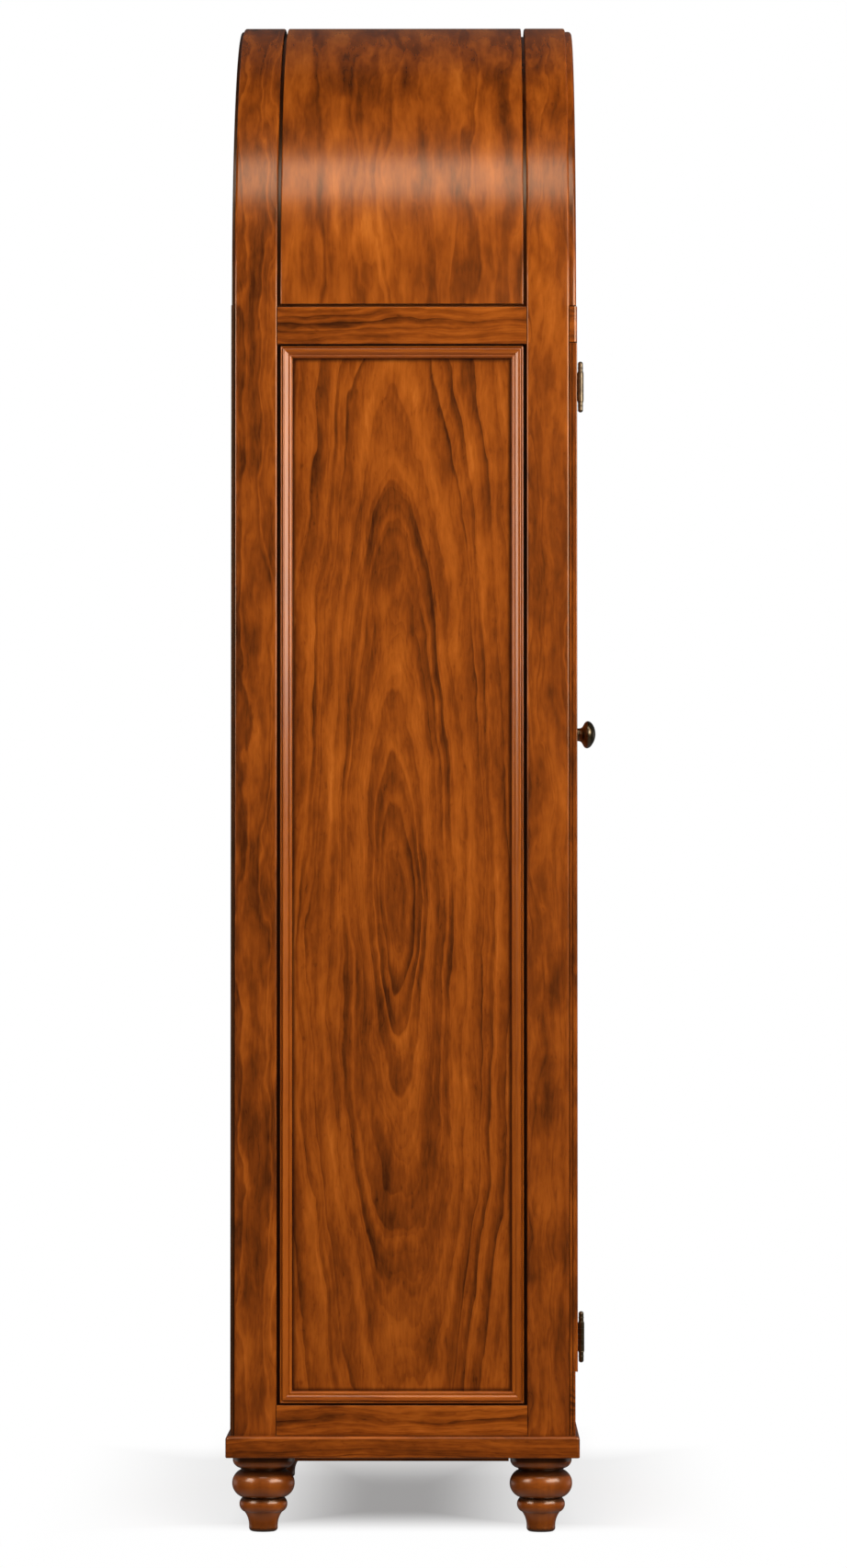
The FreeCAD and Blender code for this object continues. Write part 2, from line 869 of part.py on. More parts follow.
def left_knob():
    """The left door's knob and the bolt that holds it from behind."""
    x = -door_gap / 2 - knob_inset
    outward = V(0, -1, 0)
    at = V(x, face_y, knob_height)
    knob = turned(knob_outline_shares, knob_radius, knob_projection, at, outward)
    back_at = V(x, door_back_y, knob_height)
    length = door_thickness + knob_bolt_grip
    hole = rod(knob_bolt_radius + hole_room, length + hole_room, back_at, outward)
    drill(["left_door_meeting_stile"], [hole])
    head = rod(knob_bolt_head_radius, knob_bolt_head_height, back_at, V(0, 1, 0))
    bolt = whole(head.fuse(rod(knob_bolt_radius, length, back_at, outward)))
    pieces["left_door_knob"] = group([whole(knob.cut(hole)), bolt])


def left_catches():
    """The left door's magnetic catches, on the ceiling board and the base board, and its strikes."""
    housings = []
    screws = []
    strikes = []
    y0 = door_back_y + strike_thickness + seat_gap
    y1 = y0 + catch_depth
    for board_z, inward in ((ceiling_z, -1), (face_bottom_z, 1)):
        levels = sorted((board_z, board_z + inward * catch_height))
        housing = block(
            -catch_inset - catch_width / 2, -catch_inset + catch_width / 2, y0, y1, *levels
        )
        housing = ease(housing, arris, y=y1, z=board_z + inward * catch_height)
        magnet_z = board_z + inward * magnet_offset
        magnet = block(
            -catch_inset - magnet_width / 2,
            -catch_inset + magnet_width / 2,
            y0,
            y0 + magnet_depth,
            magnet_z - magnet_height / 2,
            magnet_z + magnet_height / 2,
        )
        housing = housing.cut(magnet)
        for side in (-1, 1):
            x = -catch_inset + side * (catch_width + magnet_width) / 4
            at = V(x, (y0 + y1) / 2, board_z + inward * catch_height)
            driven = V(0, 0, -inward)
            length = catch_height + base_board_thickness / 2
            sizes = (screw_head_radius, screw_shank_radius, screw_head_depth, length)
            hole = screw(sizes, at, driven, hole_room)
            housing = housing.cut(hole)
            drill(["ceiling_board", "base_board"], both_sides([hole]))
            screws.append(screw(sizes, at, driven))
        housings += [whole(housing), magnet]
        strike = block(
            -catch_inset - strike_width / 2,
            -catch_inset + strike_width / 2,
            door_back_y,
            door_back_y + strike_thickness,
            magnet_z - strike_height / 2,
            magnet_z + strike_height / 2,
        )
        at = V(-catch_inset, door_back_y + strike_thickness, magnet_z)
        hole = screw(small_screw, at, V(0, -1, 0), hole_room)
        drill(["left_door_top_rail", "left_door_bottom_rail"], [hole])
        strikes += [whole(strike.cut(hole)), screw(small_screw, at, V(0, -1, 0))]
    pieces["magnetic_catches"] = group(both_sides(housings))
    pieces["left_door_strikes"] = group(strikes)
    return screws


# The whole cabinet


base()
left_side()
arched_top()
face()
back()
boards()
shelf_supports()
left_door()
left_knob()
case_screws = left_hinges() + left_catches()
case_columns, case_arch = back_screws()
hole_columns, hole_arch = back_screws(hole_room)
drill(["left_back_stile", "lower_back_panel"], hole_columns)
drill(["back_arch_rib", "upper_back_panel"], hole_arch)
pieces["case_screws"] = group(both_sides(case_screws) + case_columns + case_arch)

for left_name in [name for name in pieces if name.startswith("left_")]:
    pieces["right_" + left_name[len("left_"):]] = mirrored(pieces[left_name])

os.makedirs("parts", exist_ok=True)
for name, shape in pieces.items():
    if not shape.isValid():
        print(name, "is not a valid shape")
    shape.exportStep(f"parts/{name}.step")
print(len(pieces), "nodes; the hinge axes lie at x =", hinge_x, "and y =", hinge_y)
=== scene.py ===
import math

import bmesh
import bpy
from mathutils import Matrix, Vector

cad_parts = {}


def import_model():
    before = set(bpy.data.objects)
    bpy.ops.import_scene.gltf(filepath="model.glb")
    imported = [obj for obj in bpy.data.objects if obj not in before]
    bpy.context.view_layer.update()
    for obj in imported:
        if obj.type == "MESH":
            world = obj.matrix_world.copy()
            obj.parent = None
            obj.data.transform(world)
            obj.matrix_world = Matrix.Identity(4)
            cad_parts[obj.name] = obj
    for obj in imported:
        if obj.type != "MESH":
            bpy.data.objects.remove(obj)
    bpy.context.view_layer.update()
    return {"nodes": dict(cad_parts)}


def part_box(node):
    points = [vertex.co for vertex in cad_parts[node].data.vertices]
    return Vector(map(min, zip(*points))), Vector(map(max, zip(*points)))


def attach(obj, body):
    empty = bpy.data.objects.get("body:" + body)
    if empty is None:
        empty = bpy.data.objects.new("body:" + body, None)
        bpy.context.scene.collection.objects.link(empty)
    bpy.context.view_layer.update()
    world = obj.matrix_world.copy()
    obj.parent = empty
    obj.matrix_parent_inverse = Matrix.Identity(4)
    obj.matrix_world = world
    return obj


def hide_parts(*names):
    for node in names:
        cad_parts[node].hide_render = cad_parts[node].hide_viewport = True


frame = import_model()
nodes = frame["nodes"]

MM = 0.001

# The stiles' section, where the arch springs from them, its radius and the middle of the depth
stile_low, stile_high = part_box("left_front_stile")
STILE_THICKNESS = stile_high[0] - stile_low[0]
STILE_WIDTH = stile_high[1] - stile_low[1]
SPRING = stile_high[2]
ARCH_RADIUS = -stile_low[0]
CENTRE_Y = (stile_low[1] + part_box("left_back_stile")[1][1]) / 2

# Sizes that no box of the frame shows: how deep the barrel panel lies in the ribs and how thick it is, the
# width of the panel mouldings, and what a knob and its bolt's head add on either side of a door
BARREL_SEAT = 11.0 * MM
BARREL_THICKNESS = 10.7 * MM
BAND = 15.5 * MM
KNOB_PROJECTION = 33.0 * MM
BOLT_HEAD_HEIGHT = 3.0 * MM

# The photograph's height and its focal length, in pixels
PHOTO_HEIGHT = 1706
PHOTO_FOCAL = 6237.0


def linear(r, g, b):
    """A colour written in picture values from 0 to 255, as shader values."""
    def one(v):
        v = v / 255
        return v / 12.92 if v <= 0.04045 else ((v + 0.055) / 1.055) ** 2.4
    return (one(r), one(g), one(b), 1.0)


class Tree:
    """Adds shader nodes by short calls that give back their output sockets."""

    def __init__(self, tree):
        self.tree = tree

    def add(self, kind, **settings):
        node = self.tree.nodes.new(kind)
        for name, value in settings.items():
            setattr(node, name, value)
        return node

    def put(self, socket, value):
        if isinstance(value, bpy.types.NodeSocket):
            self.tree.links.new(value, socket)
        elif value is not None:
            socket.default_value = value

    def math(self, operation, a, b=None):
        node = self.add("ShaderNodeMath", operation=operation)
        for socket, value in zip(node.inputs, (a, b)):
            self.put(socket, value)
        return node.outputs[0]

    def plus(self, a, b):
        return self.math("ADD", a, b)

    def minus(self, a, b):
        return self.math("SUBTRACT", a, b)

    def times(self, a, b):
        return self.math("MULTIPLY", a, b)

    def hypot(self, a, b):
        return self.math("SQRT", self.plus(self.times(a, a), self.times(b, b)))

    def step(self, value, low, high, to_low=0.0, to_high=1.0):
        """Eases from to_low at low to to_high at high, and stays there beyond."""
        node = self.add("ShaderNodeMapRange", interpolation_type="SMOOTHSTEP")
        for socket, v in zip(node.inputs, (value, low, high, to_low, to_high)):
            self.put(socket, v)
        return node.outputs[0]

    def join(self, x, y, z):
        node = self.add("ShaderNodeCombineXYZ")
        for socket, value in zip(node.inputs, (x, y, z)):
            self.put(socket, value)
        return node.outputs[0]

    def split(self, vector):
        node = self.add("ShaderNodeSeparateXYZ")
        self.put(node.inputs[0], vector)
        return node.outputs

    def noise(self, vector, detail=2.0, roughness=0.5, scale=1.0):
        node = self.add("ShaderNodeTexNoise", noise_dimensions="3D")
        self.put(node.inputs["Vector"], vector)
        self.put(node.inputs["Scale"], scale)
        self.put(node.inputs["Detail"], detail)
        self.put(node.inputs["Roughness"], roughness)
        return node.outputs[0]

    def noise_line(self, w, detail=2.0, roughness=0.5):
        node = self.add("ShaderNodeTexNoise", noise_dimensions="1D")
        self.put(node.inputs["W"], w)
        self.put(node.inputs["Scale"], 1.0)
        self.put(node.inputs["Detail"], detail)
        self.put(node.inputs["Roughness"], roughness)
        return node.outputs[0]

    def ramp(self, factor, stops):
        node = self.add("ShaderNodeValToRGB")
        band = node.color_ramp
        while len(band.elements) < len(stops):
            band.elements.new(1.0)
        for element, (place, colour) in zip(band.elements, stops):
            element.position = place
            element.color = colour
        self.put(node.inputs[0], factor)
        return node.outputs[0]

    def pick(self, factor, a, b):
        """Number a where factor is 0 and b where it is 1."""
        node = self.add("ShaderNodeMix", data_type="FLOAT")
        for socket, value in zip(node.inputs[:4], (factor, None, a, b)):
            self.put(socket, value)
        return node.outputs[0]

    def blend(self, factor, a, b):
        """Colour a where factor is 0 and b where it is 1."""
        node = self.add("ShaderNodeMix", data_type="RGBA")
        self.put(node.inputs[0], factor)
        self.put(node.inputs[6], a)
        self.put(node.inputs[7], b)
        return node.outputs[2]


# The figure of the wood, as one group: a growth-ring field along the board, with streaks, fibres and flecks
GRAIN_INPUTS = {
    "Along": 0.0, "Across": 0.0, "Depth": 0.0, "Seed": 0.0,
    "Heart Across": 0.0, "Heart Along": 0.0, "Heart Depth": 0.0,
    "Taper": 0.1, "Rings": 150.0, "Wave": 1.0, "Flame": 4.0, "Mottle": 1.0, "Fine": 1.0,
    "Lines": 1.0, "Strips": 0.2,
}


def grain_group():
    group = bpy.data.node_groups.new("wood_grain", "ShaderNodeTree")
    for name, value in GRAIN_INPUTS.items():
        socket = group.interface.new_socket(name, in_out="INPUT", socket_type="NodeSocketFloat")
        socket.default_value = value
    for name in ("Tone", "Fibre"):
        group.interface.new_socket(name, in_out="OUTPUT", socket_type="NodeSocketFloat")
    t = Tree(group)
    given = t.add("NodeGroupInput").outputs
    along, across, depth, seed = given["Along"], given["Across"], given["Depth"], given["Seed"]
    shift = t.times(seed, 7.31)

    def field(cross, lengthwise, detail, roughness=0.5, offset=0.0):
        spot = t.join(t.plus(t.times(across, cross), shift),
                      t.plus(t.times(along, lengthwise), t.plus(shift, offset)),
                      t.plus(t.times(depth, cross), offset))
        return t.minus(t.noise(spot, detail, roughness), 0.5)

    # The rings bend in long swells and short ripples, and flames lift them here and there
    swell = field(6.0, 1.4, 2.0, offset=3.1)
    ripple = field(34.0, 9.0, 3.0, offset=11.7)
    bend = t.times(given["Wave"], t.plus(t.times(swell, 0.06), t.times(ripple, 0.020)))
    side = t.plus(t.minus(across, given["Heart Across"]), bend)
    rise = t.times(given["Taper"], t.math("ABSOLUTE", t.minus(along, given["Heart Along"])))
    radius = t.hypot(side, t.plus(given["Heart Depth"], rise))
    flame = t.times(given["Flame"], field(15.0, 4.0, 3.0, 0.55, offset=23.9))
    ring_place = t.plus(t.plus(t.times(radius, given["Rings"]), seed), flame)
    ring_place = t.plus(ring_place, t.times(t.noise_line(t.times(ring_place, 0.45), 1.0), 1.6))

    def late_wood(place, drop):
        """Darkens towards each ring's outer edge, with a chance of its own for every ring."""
        cell = t.math("FLOOR", place)
        part = t.minus(place, cell)
        chance = t.add("ShaderNodeTexWhiteNoise", noise_dimensions="1D")
        t.put(chance.inputs["W"], t.plus(cell, drop))
        edge = t.times(t.step(part, 0.15, 0.90), t.step(part, 0.92, 1.0, 1.0, 0.0))
        return t.times(edge, t.step(chance.outputs[0], 0.15, 0.95, 0.08, 1.0))

    bands = t.minus(t.noise_line(t.times(ring_place, 0.55), 2.0, 0.6), 0.5)
    patch = t.step(field(13.0, 3.6, 2.0, offset=41.3), -0.14, 0.14, 0.25, 1.0)
    late = t.times(late_wood(ring_place, 0.5), patch)
    thin = late_wood(t.times(ring_place, 2.7), 9.5)

    blotch = field(11.0, 3.8, 3.0, 0.55, offset=53.9)
    cloud = field(34.0, 15.0, 3.0, 0.6, offset=67.3)
    # Streaks and fibres follow the bent rings, so they curve with the figure
    fine_side = t.plus(across, t.plus(bend, t.times(flame, 0.002)))

    def strands(cross, lengthwise, detail, offset, rough=0.6):
        spot = t.join(t.plus(t.times(fine_side, cross), shift),
                      t.plus(t.times(along, lengthwise), offset),
                      t.plus(t.times(depth, cross), shift))
        return t.minus(t.noise(spot, detail, rough), 0.5)

    streak = strands(75.0, 7.0, 3.0, 5.3)
    fibre = strands(300.0, 42.0, 3.0, 17.9)
    fleck = t.step(strands(165.0, 48.0, 2.0, 29.3), 0.13, 0.24)
    pores = t.step(strands(620.0, 110.0, 1.0, 37.7), 0.14, 0.26)

    tone = t.plus(0.61, t.times(bands, 0.75))
    tone = t.plus(tone, t.times(given["Mottle"], t.plus(t.times(blotch, 0.75), t.times(cloud, 0.62))))
    strip = field(38.0, 6.5, 3.0, 0.55, offset=79.1)
    tone = t.plus(tone, t.times(given["Strips"], strip))
    lines = t.plus(t.times(late, 0.42), t.times(thin, 0.08))
    tone = t.minus(tone, t.times(given["Lines"], lines))
    fine = t.plus(t.times(streak, 0.40), t.times(fibre, 0.50))
    fine = t.minus(fine, t.plus(t.times(fleck, 0.12), t.times(pores, 0.07)))
    tone = t.plus(tone, t.times(fine, given["Fine"]))
    leave = t.add("NodeGroupOutput")
    t.put(leave.inputs["Tone"], tone)
    t.put(leave.inputs["Fibre"], fibre)
    return group


GRAIN = grain_group()

# Colours of the stain from dark to light, by the tone of the figure
STAIN = [
    (0.00, linear(64, 27, 6)),
    (0.20, linear(98, 43, 9)),
    (0.42, linear(132, 60, 12)),
    (0.60, linear(155, 74, 16)),
    (0.80, linear(177, 89, 22)),
    (1.00, linear(198, 106, 32)),
]
BOARD_STAIN = [
    (0.05, linear(120, 72, 32)),
    (0.45, linear(168, 112, 58)),
    (0.95, linear(205, 152, 90)),
]

# Darker colours painted into the wood: painted shade at the panels' edges, in the feet's necks and under
# the plinth, with a darker outer edge on the back; and painted shade beside a joint and deep in it
PAINTED_SHADE_AND_DARK_EDGE = linear(36, 15, 6)
SHADE_BESIDE_JOINT = linear(30, 12, 4)
SHADE_IN_JOINT = linear(6, 2, 1)
WHITE = (1.0, 1.0, 1.0, 1.0)


def lengthwise_z(t, x, y, z):
    """A board that stands, seen on its side: along z, across y."""
    return z, y, x


def lengthwise_z_front(t, x, y, z):
    """A board that stands, seen on the front: along z, across x."""
    return z, x, y


def lengthwise_y(t, x, y, z):
    """A rail of the side frames: along y, across z."""
    return y, z, x


def lengthwise_x(t, x, y, z):
    """A rail of the front: along x, across z."""
    return x, z, y


def lengthwise_x_flat(t, x, y, z):
    """A board that lies: along x, across y."""
    return x, y, z


def unrolled(t, x, z):
    """Length along the stile and on over the arch, and the distance from the arch's middle line."""
    above = t.math("MAXIMUM", t.minus(z, SPRING), 0.0)
    angle = t.math("ARCTAN2", above, t.times(x, -1.0))
    below = t.minus(SPRING, t.math("MINIMUM", z, SPRING))
    signed = t.times(below, t.math("SIGN", x))
    length = t.plus(SPRING, t.plus(t.times(angle, ARCH_RADIUS), signed))
    return length, t.hypot(x, above)


def over_arch(t, x, y, z):
    """The stiles and what they carry over the top: across y."""
    length, radius = unrolled(t, x, z)
    return length, y, radius


def over_arch_front(t, x, y, z):
    """The strips of the face: across the arch's radius."""
    length, radius = unrolled(t, x, z)
    return length, radius, y


def mitred(middle, half, plane):
    """A frame of four mitred members: each member's own direction on its side of the mitre."""
    def place(t, x, y, z):
        level = y if plane == "yz" else x
        deep = x if plane == "yz" else y
        from_side = t.minus(half[0], t.math("ABSOLUTE", t.minus(level, middle[0])))
        from_end = t.minus(half[1], t.math("ABSOLUTE", t.minus(z, middle[1])))
        flat = t.math("GREATER_THAN", from_side, from_end)
        along = t.pick(flat, z, t.plus(level, 5.0))
        across = t.pick(flat, level, z)
        return along, across, deep
    return place


def painted_crevice_shade(t, reach):
    """Two masks of painted shade, from ambient occlusion: deep in a joint or a groove, and the soft shade
    next to one.
    """
    node = t.add("ShaderNodeAmbientOcclusion", samples=8)
    node.inputs["Distance"].default_value = reach
    open_sky = node.outputs["AO"]
    return t.step(open_sky, 0.10, 0.50, 1.0, 0.0), t.step(open_sky, 0.45, 0.95, 1.0, 0.0)


def wood(name, place, seed, stain=STAIN, rough=0.25, coat=0.30, darkening=None, lift=0.0, relief=0.005,
         reach=0.009, gloss_level=0.85, shade=0.35, coat_rough=0.14, joint_shade=0.95, **figure):
    """A varnished board: place gives its own directions, figure gives how it was sawn."""
    material = bpy.data.materials.new(name)
    material.use_nodes = True
    t = Tree(material.node_tree)
    shader = material.node_tree.nodes["Principled BSDF"]
    x, y, z = t.split(t.add("ShaderNodeTexCoord").outputs["Object"])
    along, across, depth = place(t, x, y, z)
    grain = t.add("ShaderNodeGroup", node_tree=GRAIN)
    for socket, value in (("Along", along), ("Across", across), ("Depth", depth), ("Seed", seed)):
        t.put(grain.inputs[socket], value)
    for socket, value in figure.items():
        t.put(grain.inputs[socket.replace("_", " ").title()], value)
    tone = grain.outputs["Tone"]
    if lift:
        tone = t.plus(tone, lift)
    colour = t.ramp(tone, stain)
    if darkening is not None:
        # Painted shade at the panels' edges, in the feet's necks and under the plinth; on the back only a
        # darker outer edge
        colour = t.blend(darkening(t, x, y, z), colour, PAINTED_SHADE_AND_DARK_EDGE)
    # Painted shade from ambient occlusion: soft beside a joint or a corner, and dark deep in a joint or
    # groove
    deep_shade, beside = painted_crevice_shade(t, reach)
    colour = t.blend(t.times(beside, shade), colour, SHADE_BESIDE_JOINT)
    colour = t.blend(t.times(deep_shade, joint_shade), colour, SHADE_IN_JOINT)
    t.put(shader.inputs["Base Color"], colour)
    gloss = t.plus(rough, t.times(grain.outputs["Fibre"], 0.08))
    t.put(shader.inputs["Roughness"], t.plus(gloss, t.times(deep_shade, 0.25)))
    shader.inputs["Specular IOR Level"].default_value = gloss_level
    shader.inputs["Specular Tint"].default_value = (1.0, 0.58, 0.28, 1.0)
    shader.inputs["Coat Weight"].default_value = coat
    shader.inputs["Coat Roughness"].default_value = coat_rough
    if relief:
        bump = t.add("ShaderNodeBump")
        bump.inputs["Strength"].default_value = 1.0
        bump.inputs["Distance"].default_value = relief * MM
        t.put(bump.inputs["Height"], grain.outputs["Fibre"])
        t.put(shader.inputs["Normal"], bump.outputs[0])
    return material


def dress(material, *names):
    """Gives one material to every face of the named pieces."""
    for name in names:
        data = nodes[name].data
        data.materials.clear()
        data.materials.append(material)
        for polygon in data.polygons:
            polygon.material_index = 0


def panel_edge_shade(low, high, level):
    """Painted shade along a sheet's edges, next to the frame that holds it."""
    reach = 6.0 * MM

    def shade(t, x, y, z):
        across = y if level == "y" else x
        i = 1 if level == "y" else 0
        centre = (low[i] + high[i]) / 2
        half = (high[i] - low[i]) / 2
        from_side = t.minus(half, t.math("ABSOLUTE", t.minus(across, centre)))
        middle = (low[2] + high[2]) / 2
        half_up = (high[2] - low[2]) / 2
        from_end = t.minus(half_up, t.math("ABSOLUTE", t.minus(z, middle)))
        near = t.math("MINIMUM", from_side, from_end)
        return t.step(near, 0.0, reach, 0.75, 0.0)
    return shade


def back_edge_darkening(radius):
    """Darker along the outer edge of the back, which its thickness shows."""
    def shade(t, x, y, z):
        above = t.math("MAXIMUM", t.minus(z, SPRING), 0.0)
        return t.step(t.hypot(x, above), radius - 3 * MM, radius - 1 * MM, 0.0, 0.85)
    return shade


def neck_shade(t, x, y, z):
    """Painted shade in the two necks of a turned foot and under the plinth."""
    upper_neck, lower_neck = 76.5 * MM, 42.0 * MM
    upper = t.step(t.math("ABSOLUTE", t.minus(z, upper_neck)), 1.5 * MM, 7.0 * MM, 1.0, 0.0)
    lower = t.step(t.math("ABSOLUTE", t.minus(z, lower_neck)), 1.0 * MM, 5.0 * MM, 1.0, 0.0)
    top = t.step(z, 90.0 * MM, 94.0 * MM, 0.0, 0.6)
    return t.times(t.math("MAXIMUM", t.math("MAXIMUM", upper, lower), top), 0.8)


def smooth_piece(name, points, faces, node, body):
    """A smooth mesh that stands for a CAD node of the same outline."""
    sharp_from = math.radians(32)
    mesh = bpy.data.meshes.new(name)
    mesh.from_pydata(points, [], faces)
    mesh.validate()
    work = bmesh.new()
    work.from_mesh(mesh)
    bmesh.ops.recalc_face_normals(work, faces=work.faces)
    work.to_mesh(mesh)
    work.free()
    mesh.shade_smooth()
    mesh.set_sharp_from_angle(angle=sharp_from)
    piece = bpy.data.objects.new(name, mesh)
    bpy.context.scene.collection.objects.link(piece)
    nodes[name] = piece
    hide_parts(node)
    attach(piece, body)
    return piece


def swept_arch(name, node, profile, start=0.0, steps=128):
    """A section bent over the arch: profile runs as (distance from the arch's centre, y), in metres."""
    count = len(profile)
    points = []
    for i in range(steps + 1):
        turn = start + (math.pi - 2 * start) * i / steps
        for radius, y in profile:
            points.append((-radius * math.cos(turn), y, SPRING + radius * math.sin(turn)))
    faces = []
    for i in range(steps):
        for j in range(count):
            a = i * count + j
            b = i * count + (j + 1) % count
            faces.append((a, a + count, b + count, b))
    faces.append(tuple(range(count)))
    faces.append(tuple(range(steps * count + count - 1, steps * count - 1, -1)))
    return smooth_piece(name, points, faces, node, "root")


def eased(outer, edge, radius, inward, parts=6):
    """A rounded edge at the radius outer: edge is its y, and inward is the side the wood lies on."""
    arc = []
    for i in range(parts + 1):
        a = math.pi / 2 * i / parts
        arc.append((outer - radius * (1 - math.cos(a)), edge + inward * radius * (1 - math.sin(a))))
    return arc


# The arched moulding's front, inwards from its flat band, as (from the outer edge, depth), in millimetres
ARCH_HOLLOW = (
    (30.0, 0.0), (30.0, 1.6), (31.6, 1.6), (33.9, 1.25), (36.2, 1.19), (38.5, 1.29), (40.8, 1.39),
    (43.1, 1.75), (45.4, 2.18), (47.6, 2.8), (49.8, 3.56), (52.0, 4.5), (54.0, 5.5),
)


def arch_profile():
    """Flat back, rounded outer edge, broad flat band, a step and a hollowed inner edge."""
    low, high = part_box("arch_moulding")
    outer, front, rear = high[0], low[1], high[1]
    profile = [(outer, rear)] + eased(outer, front, 4.5 * MM, 1, 8)
    for inward, deep in ARCH_HOLLOW:
        profile.append((outer - inward * MM, front + deep * MM))
    profile.append((profile[-1][0], rear))
    return profile


def rib_profile(name, inward):
    """A rib with rounded outer edges and the lip that the barrel panel rests on."""
    low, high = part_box(name)
    outer = high[0]
    face, lip = (low[1], high[1]) if inward > 0 else (high[1], low[1])
    inner = face + inward * STILE_WIDTH
    profile = eased(outer, face, 3.0 * MM, inward)[::-1] + eased(outer, inner, 2.4 * MM, -inward)
    under = outer - BARREL_SEAT
    deep = outer - STILE_THICKNESS
    return profile + [(under, inner), (under, lip), (deep, lip), (deep, face)]


def barrel_profile():
    """A flat sheet with two rounded outer edges."""
    low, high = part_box("barrel_panel")
    outer = high[0]
    under = outer - BARREL_THICKNESS
    profile = eased(outer, low[1], 1.6 * MM, 1)[::-1] + eased(outer, high[1], 1.6 * MM, -1)
    return profile + [(under, high[1]), (under, low[1])]


# The panel mouldings' section, as shares of (width inwards, height)
MOULDING_SHARES = (
    (0.000, 0.00), (0.000, 0.66), (0.015, 0.74), (0.045, 0.80), (0.085, 0.82), (0.125, 0.79), (0.155, 0.74),
    (0.180, 0.71), (0.200, 0.76), (0.220, 0.90), (0.240, 0.965), (0.280, 0.990), (0.340, 0.970),
    (0.400, 0.940), (0.460, 0.903), (0.520, 0.860), (0.580, 0.810), (0.640, 0.750), (0.680, 0.700),
    (0.700, 0.640), (0.715, 0.600), (0.735, 0.610), (0.760, 0.645), (0.800, 0.670), (0.850, 0.655),
    (0.900, 0.600), (0.950, 0.510), (0.985, 0.390), (1.000, 0.280), (1.000, 0.00),
)


def mitred_moulding(node, body, plane, sign):
    """The panel moulding: four lengths that meet in mitres. sign is the side of the part it faces."""
    low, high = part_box(node)
    deep = 0 if plane == "yz" else 1
    level = 1 - deep
    base = low[deep] if sign > 0 else high[deep]
    height = high[deep] - low[deep]
    points, faces = [], []
    count = len(MOULDING_SHARES)
    for member in range(4):
        first = len(points)
        for across, up in MOULDING_SHARES:
            inset = across * BAND
            a0, a1 = low[level] + inset, high[level] - inset
            z0, z1 = low[2] + inset, high[2] - inset
            corners = [(a0, z0), (a1, z0), (a1, z1), (a0, z1)]
            for a, z in (corners[member], corners[(member + 1) % 4]):
                point = [0.0, 0.0, z]
                point[level] = a
                point[deep] = base + sign * up * height
                points.append(tuple(point))
        for j in range(count):
            a = first + 2 * j
            b = first + 2 * ((j + 1) % count)
            faces.append((a, a + 1, b + 1, b))
        faces.append(tuple(first + 2 * j for j in range(count)))
        faces.append(tuple(first + 2 * j + 1 for j in reversed(range(count))))
    return smooth_piece(node + "_run", points, faces, node, body)


# A knob from its tip to its foot, as (radius, distance from the door's face), in millimetres
KNOB_OUTLINE = (
    (3.4, 31.7), (6.0, 31.2), (8.4, 30.5), (10.8, 29.5), (13.2, 28.1), (15.1, 26.5), (16.5, 24.8),
    (17.3, 23.0), (17.5, 21.2), (17.1, 19.6), (16.1, 18.2), (14.6, 17.0), (12.8, 16.0), (11.0, 15.1),
    (9.6, 14.1), (8.6, 12.9), (8.0, 11.4), (7.7, 9.6), (7.7, 7.6), (8.1, 5.8), (8.9, 4.4), (10.1, 3.3),
    (11.1, 2.4), (11.4, 1.6), (11.4, 0.0), (2.0, 0.0),
)
KNOB_TIP = 32.0 * MM

# Its bolt and the domed head inside, as (radius, distance from the door's inner side), in millimetres
BOLT_OUTLINE = ((2.0, 0.0), (4.5, 0.0), (4.5, 1.6), (3.9, 2.4), (2.4, 2.9))


def turned_knob(side, steps=64):
    """A door's knob, with the bolt through the stile and its domed head inside."""
    node = f"{side}_door_knob"
    low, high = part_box(node)
    middle_x, middle_z = (low[0] + high[0]) / 2, (low[2] + high[2]) / 2
    face = low[1] + KNOB_PROJECTION
    inside = high[1] - BOLT_HEAD_HEIGHT
    outline = [(radius * MM, face - ahead * MM) for radius, ahead in KNOB_OUTLINE]
    outline += [(radius * MM, inside + beyond * MM) for radius, beyond in BOLT_OUTLINE]
    points = []
    for radius, y in outline:
        for i in range(steps):
            turn = 2 * math.pi * i / steps
            points.append((middle_x + radius * math.cos(turn), y, middle_z + radius * math.sin(turn)))
    faces = []
    for i in range(len(outline) - 1):
        for j in range(steps):
            a, b = i * steps + j, i * steps + (j + 1) % steps
            faces.append((a, b, b + steps, a + steps))
    tip, tail = len(points), len(points) + 1
    points += [(middle_x, face - KNOB_TIP, middle_z), (middle_x, high[1], middle_z)]
    last = (len(outline) - 1) * steps
    for j in range(steps):
        faces.append((tip, (j + 1) % steps, j))
        faces.append((tail, last + j, last + (j + 1) % steps))
    return smooth_piece(node + "_turned", points, faces, node, f"{side}_door")


# The smooth pieces
swept_arch("front_arch_rib_bent", "front_arch_rib", rib_profile("front_arch_rib", 1))
swept_arch("back_arch_rib_bent", "back_arch_rib", rib_profile("back_arch_rib", -1))
barrel_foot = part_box("barrel_panel")[0][2] - SPRING
swept_arch("barrel_panel_bent", "barrel_panel", barrel_profile(),
           start=math.asin(barrel_foot / ARCH_RADIUS))
swept_arch("arch_moulding_swept", "arch_moulding", arch_profile())
mitred_moulding("left_side_moulding", "root", "yz", -1)
mitred_moulding("right_side_moulding", "root", "yz", 1)
mitred_moulding("left_door_moulding", "left_door", "xz", -1)
mitred_moulding("right_door_moulding", "right_door", "xz", -1)
turned_knob("left")
turned_knob("right")

